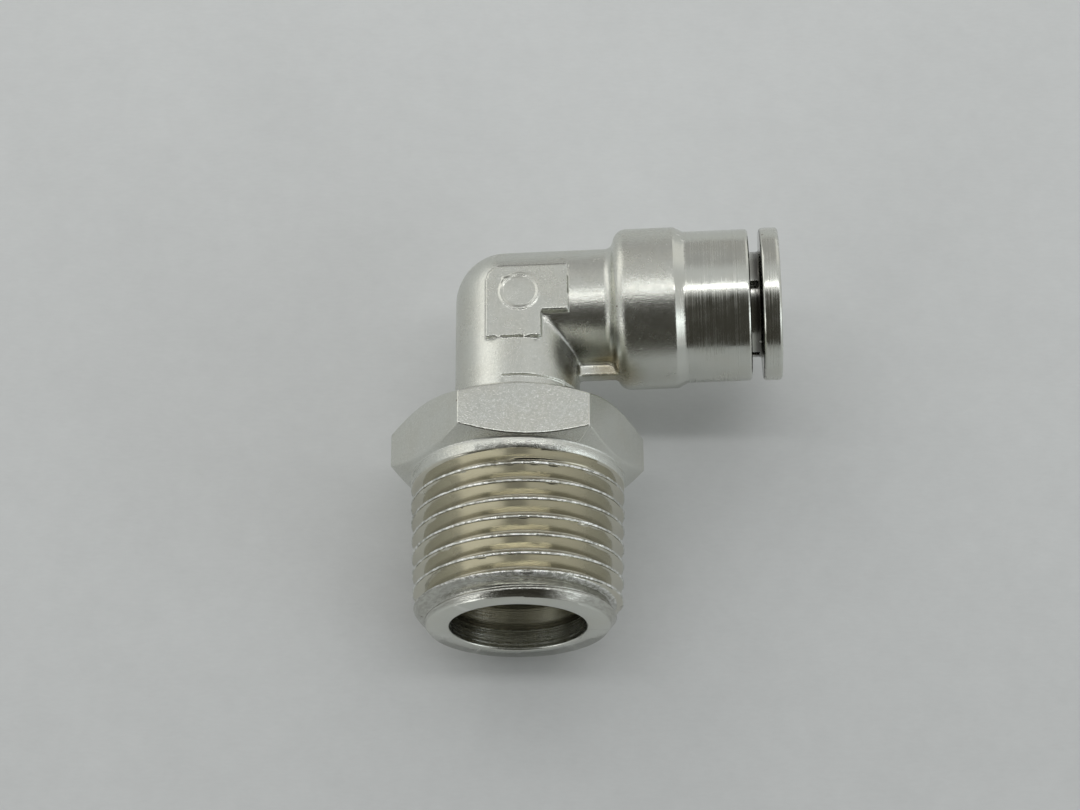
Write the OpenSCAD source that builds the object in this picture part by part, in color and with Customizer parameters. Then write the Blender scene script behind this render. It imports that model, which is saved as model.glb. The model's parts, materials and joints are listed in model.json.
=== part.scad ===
// Swivel elbow push-to-connect fitting for 8 mm tube, with an R 1/2 taper thread.
// Millimetres. Origin at the centre of the thread's end face. +Y runs up the thread's
// axis to the elbow, +Z out of one flat of the hexagon, and +X under the tube socket.

/* [Threaded stem] */
// Width of the hexagon across its flats
hex_af = 22; // [21.5:0.5:24]
// Largest thread radius at the gauge plane
thread_r = 10.48; // [10.4:0.01:10.6]
// Distance from the end face to the gauge plane
gauge_length = 8.2; // [7:0.1:9]
// Distance between neighbouring threads
thread_pitch = 1.814; // [1.7:0.001:1.9]
// Number of full threads
thread_count = 7; // [4:1:7]
// Height of the first full crest above the end face
first_crest_y = 2.1; // [2:0.05:2.3]
// Radius of the port at the thread's end
port_r = 6.7; // [6.5:0.05:7]
// Depth of the port
port_depth = 2.8; // [2:0.1:4]
// Height of the hexagon's top face
hex_top_y = 21.7; // [21.5:0.1:23]

/* [Elbow] */
// Radius of the forged leg and of the arm
tube_r = 6.3; // [6.1:0.05:6.5]
// Height of the arm's axis above the end face
arm_y = 34.1; // [33:0.1:36]
// Turn of the elbow on its swivel, up from the hexagon's flats
arm_lift = 7.8; // [-30:0.1:30]
// Radius of the forged part of the tube socket
socket_r = 8.25; // [8.2:0.05:8.5]
// Radius of the turned part of the tube socket
turned_r = 7.75; // [7.7:0.05:7.9]
// Distance from the leg's axis to the socket's mouth
socket_end_x = 23.85; // [23.5:0.05:25]
// Height of the flat forging pads from the elbow's middle plane
pad_z = 6.38; // [6.35:0.01:6.5]
// Thickness of the web under the arm
web_t = 1.4; // [1:0.1:2]

/* [Swivel] */
// Radius of the spigot that turns in the stem
spigot_r = 5.1; // [5:0.05:5.3]
// Radial clearance between the spigot and the stem
swivel_clearance = 0.05; // [0.02:0.01:0.08]
// Radius of the flow passage
flow_r = 3; // [2.5:0.1:3.1]

/* [Tube socket] */
// Outer diameter of the tube that the socket takes
tube_d = 8; // [8:0.1:8.1]
// Travel of the release collet
collet_travel = 1.1; // [0.8:0.05:1.15]
// Radius of the release flange
flange_r = 7.8; // [7.5:0.05:8]
// Width of each slot in the collet
slot_w = 0.8; // [0.5:0.05:1]

/* [Hidden] */
$fn = 96;

nickel = "#b9b8b2";
rubber = "#26282a";
steel = "#a6a8aa";

hex_low_y = 15.6;
hex_corner_r = hex_af / 2 / cos(30);
chamfer_h = 1.51;
neck_r = 10.6;
neck_low_y = 14.55;
hex_low_chamfer_h = 1.21;
lap = 0.1;
end_face_r = 8.8;
flank_angle = 27.5;
thread_depth = 1.16;
crest_flat = 0.36;
drill_r = 6.45;
port_cone_h = 1.4;
shoulder_y = 11;
swivel_lead_in = 0.3;
swivel_bore_r = spigot_r + swivel_clearance;

leg_low_y = hex_top_y + 0.05;
leg_land_y = 24.3;
leg_land_r = tube_r - 0.06;
spigot_low_y = 8.4;
corner_r = 5.3;
flare_start_x = 9.2;
flare_end_x = 11.5;
flare_fillet_r = 0.9;
flare_round_r = 1.4;
flare_angle = 107;
shoulder_x = 16.3;
turned_x = 17.3;
edge_r = 0.35;
pad_x = [-2.65, 2.85, 5.6];
pad_y = [-5.6, -2.8, 2.3];
pad_corner_r = 1.65;
web_end_x = 10.5;
web_low_y = -7.6;

o_ring_y = 16.2;
o_ring_groove_w = 2;
o_ring_floor_r = 3.8;
snap_groove_r = 4.5;
snap_y = 10;
snap_t = 0.8;
snap_gap = 3.2;
seat_gap = 0.03;
washer_t = 0.5;

guide_r = tube_d / 2 + 0.1;
stop_x = 8;
gland_x = 12.8;
gland_r = 5.45;
chamber_x = 15.9;
chamber_r = 6.2;
cone_x = 18.55;
throat_x = 19.7;
throat_r = 5.5;
seal_section_r = 0.76;
support_x = 14.5;
support_t = 1.1;

collet_x = 17.3;
collet_end_x = 26.9;
flange_x = socket_end_x + collet_travel + 0.05;
sleeve_r = 5.38;
head_r = 6;
head_x = 18.6;
head_lead = 0.7;
mouth_lead = 0.5;
tooth_x = 18;
tooth_h = 0.2;
slot_turns = [5, 95, 185, 275];

function crest_r(y) = thread_r + (y - gauge_length) / 32;
function ridge(y) =
    let (run = thread_depth * tan(flank_angle), half = crest_flat / 2)
    [[crest_r(y) - thread_depth, y - half - run], [crest_r(y), y - half],
     [crest_r(y), y + half], [crest_r(y) - thread_depth, y + half + run]];
function arc(centre, r, from, to, steps) =
    [for (i = [0:steps]) let (a = from + (to - from) * i / steps)
        centre + r * [cos(a), sin(a)]];

// Turns a profile of (radius, height) points about the thread's axis
module on_stem_axis() {
    rotate([-90, 0, 0]) rotate_extrude() children();
}

// Turns a profile of (radius, distance) points about the arm's axis
module on_arm_axis() {
    rotate([0, 90, 0]) rotate_extrude() children();
}

// Places the elbow and all it carries at its angle on the swivel
module on_swivel() {
    translate([0, arm_y, 0]) rotate([0, -arm_lift, 0]) children();
}

module ring(inner_r, outer_r, low, high) {
    translate([inner_r, low]) square([outer_r - inner_r, high - low]);
}

module thread_profile() {
    cone_top_y = first_crest_y - crest_flat / 2 - lap;
    ridges = [for (i = [0:thread_count - 1]) each ridge(first_crest_y + i * thread_pitch)];
    root_y = ridges[0][1];
    cone_r = end_face_r + root_y * (crest_r(0) - end_face_r) / cone_top_y;
    polygon(concat([[port_r - 1, 0], [end_face_r, 0], [cone_r, root_y - lap / 2]], ridges,
        [[neck_r, neck_low_y], [neck_r, hex_low_y + lap], [port_r - 1, hex_low_y + lap]]));
}

module chamfered_hexagon() {
    top_r = hex_corner_r - chamfer_h / tan(30);
    intersection() {
        translate([0, hex_low_y, 0]) rotate([-90, 0, 0])
            cylinder(h = hex_top_y - hex_low_y, r = hex_corner_r, $fn = 6);
        on_stem_axis()
            polygon([[0, hex_low_y], [neck_r - lap / 2, hex_low_y],
                [hex_corner_r, hex_low_y + hex_low_chamfer_h],
                [hex_corner_r, hex_top_y - chamfer_h], [top_r, hex_top_y], [0, hex_top_y]]);
    }
}

module threaded_stem() {
    color(nickel) difference() {
        union() {
            on_stem_axis() thread_profile();
            chamfered_hexagon();
        }
        on_stem_axis()
            polygon([[0, -1], [port_r, -1], [port_r, port_depth],
                [drill_r, port_depth + port_cone_h], [drill_r, shoulder_y],
                [swivel_bore_r, shoulder_y], [swivel_bore_r, hex_top_y - swivel_lead_in],
                [swivel_bore_r + swivel_lead_in + lap, hex_top_y + lap], [0, hex_top_y + lap]]);
    }
}

// Outline of the arm and the socket, from the leg's axis to the socket's mouth
module arm_profile() {
    polygon(concat([[0, 0], [0, -1], [tube_r, -1], [tube_r, flare_start_x]],
        arc([tube_r + flare_fillet_r, flare_start_x], flare_fillet_r, 180, flare_angle, 4),
        arc([socket_r - flare_round_r, flare_end_x], flare_round_r, flare_angle - 180, 0, 5),
        [[socket_r, shoulder_x], [turned_r, turned_x]],
        arc([turned_r - edge_r, socket_end_x - edge_r], edge_r, 0, 90, 4),
        [[0, socket_end_x]]));
}

module corner_bend() {
    offset_xy = tube_r - corner_r;
    translate([-offset_xy, offset_xy, 0]) rotate([0, 0, 90]) rotate_extrude(angle = 90)
        intersection() {
            translate([-offset_xy, 0]) circle(r = tube_r);
            translate([0, -tube_r]) square([tube_r, 2 * tube_r]);
        }
}

// L-shaped flat pads, one on each side of the elbow
module pads() {
    corner_x = pad_x[0] + pad_corner_r;
    corner_y = pad_y[2] - pad_corner_r;
    linear_extrude(2 * pad_z, center = true)
        polygon(concat([[pad_x[0], pad_y[0]], [pad_x[1], pad_y[0]], [pad_x[1], pad_y[1]],
            [pad_x[2], pad_y[1]], [pad_x[2], pad_y[2]]],
            arc([corner_x, corner_y], pad_corner_r, 90, 180, 6)));
}

module elbow_solid() {
    leg_y = leg_low_y - arm_y;
    land_y = leg_land_y - arm_y;
    on_arm_axis() arm_profile();
    corner_bend();
    rotate([-90, 0, 0]) translate([0, 0, land_y])
        cylinder(h = 1 - land_y, r = tube_r);
    rotate([-90, 0, 0]) translate([0, 0, leg_y])
        cylinder(h = land_y - leg_y + lap, r = leg_land_r);
    pads();
    translate([0, web_low_y, -web_t / 2]) cube([web_end_x, -web_low_y, web_t]);
    translate([0, -arm_y, 0]) on_stem_axis()
        polygon([[0, spigot_low_y], [spigot_r - edge_r, spigot_low_y],
            [spigot_r, spigot_low_y + edge_r], [spigot_r, leg_low_y + lap], [0, leg_low_y + lap]]);
}

module elbow_bores() {
    leg_bottom = spigot_low_y - arm_y;
    rotate([-90, 0, 0]) translate([0, 0, leg_bottom - 1]) cylinder(h = 1 - leg_bottom, r = flow_r);
    on_arm_axis()
        polygon([[0, 0], [flow_r, 0], [flow_r, stop_x], [guide_r, stop_x],
            [guide_r, gland_x], [gland_r, gland_x], [gland_r, chamber_x],
            [chamber_r, chamber_x], [chamber_r, cone_x], [throat_r, throat_x],
            [throat_r, socket_end_x - 2 * lap], [throat_r + 3 * lap, socket_end_x + lap],
            [0, socket_end_x + lap]]);
    translate([0, -arm_y, 0]) on_stem_axis() {
        ring(o_ring_floor_r, spigot_r + 1, o_ring_y - o_ring_groove_w / 2,
            o_ring_y + o_ring_groove_w / 2);
        ring(snap_groove_r, spigot_r + 1, snap_y - snap_t / 2 - seat_gap,
            snap_y + snap_t / 2 + seat_gap);
    }
}

module elbow_body() {
    color(nickel) on_swivel() difference() {
        elbow_solid();
        elbow_bores();
    }
}

module swivel_o_ring() {
    section_r = (swivel_bore_r - seat_gap - o_ring_floor_r) / 2;
    color(rubber) translate([0, o_ring_y, 0]) rotate([-90, 0, 0]) rotate_extrude()
        translate([o_ring_floor_r + seat_gap / 2 + section_r, 0]) circle(r = section_r, $fn = 32);
}

module swivel_washer() {
    top_y = shoulder_y - lap / 2;
    color(steel) on_stem_axis()
        ring(spigot_r + 2 * seat_gap, drill_r - 2 * lap, top_y - washer_t, top_y);
}

// Open ring that snaps into the groove at the end of the spigot
module swivel_snap_ring() {
    color(steel) difference() {
        on_stem_axis()
            ring(snap_groove_r + lap / 5, drill_r - edge_r, snap_y - snap_t / 2, snap_y + snap_t / 2);
        translate([0, snap_y - snap_t, -snap_gap / 2])
            cube([drill_r + 1, 2 * snap_t, snap_gap]);
    }
}

module tube_seal() {
    centre_r = gland_r - lap / 5 - seal_section_r;
    centre_x = gland_x + seat_gap + seal_section_r;
    color(rubber) on_swivel() on_arm_axis()
        translate([centre_r, centre_x]) circle(r = seal_section_r, $fn = 32);
}

module seal_support_ring() {
    color(nickel) on_swivel() on_arm_axis()
        ring(guide_r, gland_r - seat_gap, support_x, support_x + support_t);
}

module collet_profile() {
    polygon(concat([[guide_r, collet_x], [sleeve_r, collet_x], [head_r, collet_x + head_lead],
        [head_r, head_x], [sleeve_r, head_x + 1], [sleeve_r, flange_x - edge_r],
        [sleeve_r + edge_r, flange_x]],
        arc([flange_r - edge_r, flange_x + edge_r], edge_r, -90, 0, 4),
        arc([flange_r - edge_r, collet_end_x - edge_r], edge_r, 0, 90, 4),
        [[guide_r + mouth_lead, collet_end_x], [guide_r, collet_end_x - mouth_lead],
         [guide_r, tooth_x + mouth_lead], [guide_r - tooth_h, tooth_x], [guide_r, tooth_x]]));
}

module release_collet() {
    slot_end_x = flange_x - edge_r;
    color(nickel) on_swivel() difference() {
        on_arm_axis() collet_profile();
        for (turn = slot_turns) rotate([turn, 0, 0])
            translate([collet_x - 1, 0, -slot_w / 2])
                cube([slot_end_x - collet_x + 1, flange_r, slot_w]);
    }
}

threaded_stem();
elbow_body();
swivel_o_ring();
swivel_washer();
swivel_snap_ring();
tube_seal();
seal_support_ring();
release_collet();
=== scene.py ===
"""A swivel elbow with a push-to-connect socket: its finished pieces, and the stage they lie on."""
import json
import math

import bmesh
import bpy
import numpy as np
from mathutils import Matrix, Vector


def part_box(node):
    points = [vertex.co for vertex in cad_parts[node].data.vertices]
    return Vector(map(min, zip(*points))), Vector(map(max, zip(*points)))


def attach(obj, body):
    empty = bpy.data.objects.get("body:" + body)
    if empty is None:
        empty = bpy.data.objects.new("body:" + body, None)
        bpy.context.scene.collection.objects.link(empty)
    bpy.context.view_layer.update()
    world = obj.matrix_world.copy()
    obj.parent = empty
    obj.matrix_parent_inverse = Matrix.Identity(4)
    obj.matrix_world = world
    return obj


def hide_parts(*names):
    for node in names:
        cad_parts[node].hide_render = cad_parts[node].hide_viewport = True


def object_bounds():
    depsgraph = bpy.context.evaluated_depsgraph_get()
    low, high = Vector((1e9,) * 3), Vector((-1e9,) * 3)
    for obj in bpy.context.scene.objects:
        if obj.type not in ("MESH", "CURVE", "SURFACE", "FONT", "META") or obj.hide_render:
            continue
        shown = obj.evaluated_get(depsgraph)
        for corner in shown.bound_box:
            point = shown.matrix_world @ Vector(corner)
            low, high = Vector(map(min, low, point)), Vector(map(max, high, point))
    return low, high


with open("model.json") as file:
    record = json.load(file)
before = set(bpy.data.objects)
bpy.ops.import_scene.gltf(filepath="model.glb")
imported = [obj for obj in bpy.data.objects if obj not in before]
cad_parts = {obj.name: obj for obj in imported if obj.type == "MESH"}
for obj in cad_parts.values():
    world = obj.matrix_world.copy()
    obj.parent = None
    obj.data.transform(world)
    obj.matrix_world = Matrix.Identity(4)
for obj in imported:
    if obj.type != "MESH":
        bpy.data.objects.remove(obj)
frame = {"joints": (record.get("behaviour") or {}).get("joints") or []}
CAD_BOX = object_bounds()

bl_info = {
    "name": "Push-to-connect elbow",
    "version": (1, 0, 0),
    "blender": (4, 5, 0),
    "location": "3D View > Sidebar > Fitting",
    "description": "Builds the pieces of a swivel push-to-connect elbow around its packed frame",
    "category": "Object",
}

MM = 0.001
CLOSE = 0.002 * MM  # vertices nearer than this are one
JOINTS = {joint["name"]: joint for joint in frame["joints"]}
ARM_HEIGHT = JOINTS["swivel"]["pos_m"][1]
PRESS_AXIS = JOINTS["collet_press"]["axis"]
ARM_LIFT = math.atan2(-PRESS_AXIS[2], -PRESS_AXIS[0])
HEX_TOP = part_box("threaded_stem")[1].y
HEX_ACROSS = 2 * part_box("threaded_stem")[1].z
TABLE_HEIGHT = CAD_BOX[0].z - 0.02 * MM
PAD_NORMAL = (-math.sin(ARM_LIFT), 0, math.cos(ARM_LIFT))
ARM_ORIGIN = np.array((0, ARM_HEIGHT, 0))
ARM_DIRECTION = (math.cos(ARM_LIFT), 0, math.sin(ARM_LIFT))
ARM_AXES = np.array(Matrix.Rotation(-ARM_LIFT, 3, "Y"))
ABOUT_STEM = Matrix.Rotation(math.radians(-90), 4, "X")
ABOUT_ARM = (
    Matrix.Translation(ARM_ORIGIN) @ Matrix.Rotation(-ARM_LIFT, 4, "Y")
    @ Matrix.Rotation(math.radians(90), 4, "Y")
)
ALL_ALONG = (0, 1)  # metres along an axis, which takes in the whole of a piece
FLANK = math.tan(math.radians(27.5))  # half the thread's angle
TAPER = 1 / 32  # gain in the thread's radius over its height


# Sizes and colours that a user would change


def length(name, description, default):
    return bpy.props.FloatProperty(
        name=name, description=description, default=default, unit="LENGTH", precision=5, min=0
    )


def colour(name, description, default):
    return bpy.props.FloatVectorProperty(
        name=name, description=description, default=default, subtype="COLOR", size=3, min=0, max=1
    )


class StemSizes(bpy.types.PropertyGroup):
    across_flats: length("Across flats", "Width of the hexagon across its flats", HEX_ACROSS)
    hex_top: length("Hexagon top", "Height of the hexagon's top face", HEX_TOP)
    hex_low: length("Hexagon foot", "Height where the hexagon meets the neck", 0.0156)
    chamfer: length("Chamfer", "Height of the chamfer on the hexagon's top corners", 0.00151)
    neck_radius: length("Neck radius", "Radius of the plain neck under the hexagon", 0.0106)
    neck_low: length("Neck foot", "Height where the neck ends and the thread begins", 0.01455)
    thread_radius: length("Thread radius", "Crest radius at the gauge plane", 0.01048)
    gauge_length: length("Gauge length", "Height of the gauge plane above the end face", 0.0082)
    pitch: length("Pitch", "Distance from one thread to the next", 0.001814)
    depth: length("Thread depth", "Height of the thread from root to crest", 0.00152)
    crest_flat: length("Crest flat", "Width of the flat on each crest", 0.00016)
    first_crest: length("First crest", "Height of the first crest on the upper side", 0.0021)
    end_radius: length("End radius", "Outer radius of the flat end face", 0.0088)
    port_radius: length("Port radius", "Radius of the port in the end face", 0.0067)
    port_depth: length("Port depth", "Depth of the port's first step", 0.0028)
    drill_radius: length("Drill radius", "Radius of the port behind its step", 0.00645)
    shoulder: length("Shoulder", "Height of the shoulder that holds the swivel", 0.011)
    swivel_radius: length("Swivel bore", "Radius of the bore that the spigot turns in", 0.00515)
    edge: length("Edge rounding", "Rounding left on the turned edges", 0.00012)
    nick: length("Nick depth", "Depth of the small nicks along the crests", 0.00016)


class ElbowSizes(bpy.types.PropertyGroup):
    tube_radius: length("Tube radius", "Radius of the forged leg and arm", 0.0063)
    corner_radius: length("Corner radius", "Outer radius of the bend, seen flat on", 0.0053)
    socket_radius: length("Socket radius", "Radius of the forged part of the socket", 0.00825)
    turned_radius: length("Turned radius", "Radius of the turned part of the socket", 0.00775)
    flare_start: length("Flare start", "Distance along the arm where the flare begins", 0.0092)
    flare_end: length("Flare end", "Distance along the arm where the flare is full", 0.0115)
    shoulder: length("Socket shoulder", "Distance along the arm to the turned chamfer", 0.0163)
    turned_start: length("Turned start", "Distance along the arm where the chamfer ends", 0.0173)
    socket_end: length("Socket end", "Distance along the arm to the socket's mouth", 0.02385)
    pad_height: length("Pad height", "Height of the flat pads from the middle plane", 0.00638)
    web: length("Web", "Thickness of the web under the arm", 0.0014)
    leg_foot: length("Leg foot", "Height of the leg's foot above the end face", HEX_TOP + 0.05 * MM)
    leg_land: length("Leg land", "Height of the turned land at the leg's foot", 0.0243)
    spigot_foot: length("Spigot foot", "Height of the spigot's open end", 0.0084)
    spigot_radius: length("Spigot radius", "Radius of the spigot inside the stem", 0.0051)
    flow_radius: length("Flow radius", "Radius of the flow passage", 0.003)
    fillet: length("Crease", "Radius of the crease between leg and arm", 0.00045)
    cell: length("Mesh cell", "Size of one face of the forged mesh", 0.00022)


class ColletSizes(bpy.types.PropertyGroup):
    start: length("Collet start", "Distance along the arm to the collet's inner end", 0.0173)
    end: length("Collet end", "Distance along the arm to the flange's outer face", 0.0269)
    flange: length("Flange start", "Distance along the arm to the flange's inner face", 0.025)
    flange_radius: length("Flange radius", "Radius of the release flange", 0.0078)
    sleeve_radius: length("Sleeve radius", "Radius of the slotted sleeve", 0.00538)
    head_radius: length("Head radius", "Radius of the gripping heads", 0.006)
    head: length("Head end", "Distance along the arm to the back of the heads", 0.0186)
    bore_radius: length("Bore radius", "Radius of the hole for the tube", 0.0041)
    slot: length("Slot", "Width of each slot between the fingers", 0.0008)
    cell: length("Mesh cell", "Size of one face of the collet's mesh", 0.00013)


class FinishColours(bpy.types.PropertyGroup):
    nickel: colour("Nickel", "Plating on the turned and forged pieces", (0.665, 0.675, 0.625))
    worn: colour("Worn nickel", "Plating where it is thin and warm", (0.6, 0.58, 0.49))
    brass: colour("Brass", "Bare metal under scored or rubbed plating", (0.48, 0.43, 0.31))
    # Shade: painted shade in gaps, creases and hollows, and also the dark of real nicks and pits
    shade: colour("Shade", "Grease in narrow gaps", (0.07, 0.065, 0.06))
    steel: colour("Stainless", "Snap ring and washer", (0.58, 0.58, 0.59))
    rubber: colour("Rubber", "Seals", (0.012, 0.012, 0.013))
    speck: colour("Specks", "Dirt caught in the small pits", (0.1, 0.06, 0.03))
    # Thread roots: painted shade at the foot of the flanks
    root: colour("Thread roots", "Foot of the thread's flanks", (0.38, 0.36, 0.3))
    # Bruises: partly bruised metal, partly painted glints on the crests
    bruise_and_glint: colour("Bruises", "Bright marks along the thread's crests", (0.98, 0.98, 0.96))
    score: colour("Scoring", "Dull metal where the end face is scored", (0.3, 0.29, 0.26))
    fleck: colour("Flecks", "Bright points of the forged grain", (0.93, 0.93, 0.89))
    # Rubbed edges: partly worn plating, partly a painted highlight along the edges
    rub_and_edge_highlight: colour("Rubbed edges", "Edges that are rubbed bright", (0.86, 0.86, 0.82))


class StageSettings(bpy.types.PropertyGroup):
    table: colour("Table", "Pale board that the fitting lies on", (0.73, 0.745, 0.742))
    crumb: colour("Crumbs", "Small dark crumbs in the board", (0.25, 0.25, 0.24))
    distance: length("Camera distance", "From the camera to the point it looks at", 0.23524)
    azimuth: bpy.props.FloatProperty(
        name="Azimuth", description="Turn of the camera about the vertical", subtype="ANGLE",
        default=math.radians(-7.8),
    )
    elevation: bpy.props.FloatProperty(
        name="Elevation", description="Height of the camera above the table", subtype="ANGLE",
        default=math.radians(65.13),
    )
    roll: bpy.props.FloatProperty(
        name="Roll", description="Tilt of the camera about its own axis", subtype="ANGLE",
        default=math.radians(8.16),
    )
    lens: bpy.props.FloatProperty(
        name="Lens", description="Focal length in millimetres", default=77.42, min=10
    )


# Expressions on node sockets, for materials and for Geometry Nodes


class Wire:
    """A node's output that arithmetic can be written on; each step adds a Math node.

    A Wire that is made from a tree alone has no output, and only serves to start other nodes.
    """

    def __init__(self, tree, socket=None):
        self.tree = tree
        self.socket = socket

    def node(self, kind, settings=None, inputs=None, output=0):
        """Adds a node to the tree, sets its settings and then its sockets, by name or number."""
        made = self.tree.nodes.new(kind)
        for name, value in (settings or {}).items():
            setattr(made, name, value)
        feed(made, inputs or {})
        return Wire(self.tree, made.outputs[output] if len(made.outputs) else None)

    def math(self, operation, *others):
        return self.node("ShaderNodeMath", {"operation": operation}, dict(enumerate((self, *others))))

    def reflected(self, operation, first):
        return self.node("ShaderNodeMath", {"operation": operation}, {0: first, 1: self})

    def __add__(self, other):
        return self.math("ADD", other)

    def __radd__(self, other):
        return self.reflected("ADD", other)

    def __sub__(self, other):
        return self.math("SUBTRACT", other)

    def __rsub__(self, other):
        return self.reflected("SUBTRACT", other)

    def __mul__(self, other):
        return self.math("MULTIPLY", other)

    def __rmul__(self, other):
        return self.reflected("MULTIPLY", other)

    def __truediv__(self, other):
        return self.math("DIVIDE", other)

    def __rtruediv__(self, other):
        return self.reflected("DIVIDE", other)

    def at_least(self, low):
        return self.math("MAXIMUM", low)

    def at_most(self, high):
        return self.math("MINIMUM", high)

    def part(self, axis):
        """One part of a vector, X, Y or Z, as a value."""
        return self.node("ShaderNodeSeparateXYZ", {}, {"Vector": self}, axis)

    def stretched(self, *factors):
        """A vector with each of its parts multiplied."""
        return self.vector_math("MULTIPLY", factors)

    def vector_math(self, operation, *others, output="Vector"):
        inputs = dict(enumerate((self, *others)))
        return self.node("ShaderNodeVectorMath", {"operation": operation}, inputs, output)


def feed(made, inputs):
    """Links each Wire to its socket on a node, and sets the other sockets to plain values."""
    for name, value in inputs.items():
        if isinstance(value, Wire):
            value.tree.links.new(value.socket, made.inputs[name])
        else:
            made.inputs[name].default_value = value


def blend_colours(factor, first, second):
    return factor.node(
        "ShaderNodeMix", {"data_type": "RGBA"}, {0: factor, 6: first, 7: second}, output=2
    )


def noise(place, scale, detail=2.0, rough=0.5):
    return place.node(
        "ShaderNodeTexNoise", {"noise_dimensions": "3D"},
        {"Vector": place, "Scale": scale, "Detail": detail, "Roughness": rough},
    )


def line_noise(along, scale, detail, rough):
    """Noise that changes in one direction only."""
    return along.node(
        "ShaderNodeTexNoise", {"noise_dimensions": "1D"},
        {"W": along, "Scale": scale, "Detail": detail, "Roughness": rough},
    )


def dots(place, scale, core, edge):
    """Round dots, one in each cell of a random pattern, that fade out from core to edge."""
    away = place.node(
        "ShaderNodeTexVoronoi", {"feature": "F1"}, {"Vector": place, "Scale": scale}, "Distance"
    )
    return 1 - smooth_step(away, core, edge)


def smooth_step(value, low, high):
    return value.node(
        "ShaderNodeMapRange", {"interpolation_type": "SMOOTHSTEP"},
        {"Value": value, "From Min": low, "From Max": high},
    )


def span_mask(value, low, high, fade):
    """1 between low and high, and 0 from the distance fade outside them."""
    return smooth_step(value, low - fade, low) * (1 - smooth_step(value, high, high + fade))


def bump(height, strength, distance):
    return height.node(
        "ShaderNodeBump", {}, {"Height": height, "Strength": strength, "Distance": distance}
    )


def opaque(rgb):
    return (*rgb, 1.0)


# Finishes


def new_material(name):
    """A material, its shader and a Wire with the place on the piece."""
    material = bpy.data.materials.new(name)
    material.use_nodes = True
    shader = next(n for n in material.node_tree.nodes if n.type == "BSDF_PRINCIPLED")
    return material, shader, Wire(material.node_tree).node("ShaderNodeTexCoord", output="Object")


def tool_lines(along, place):
    """Fine rings that a lathe tool leaves, which change along the axis and fade here and there."""
    rings = line_noise(along, 6500, 3.0, 0.6) * 0.7 + line_noise(along, 2200, 2.0, 0.5) * 0.3
    return rings * (noise(place, 500, 2.0, 0.5) * 0.8 + 0.6)


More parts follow.
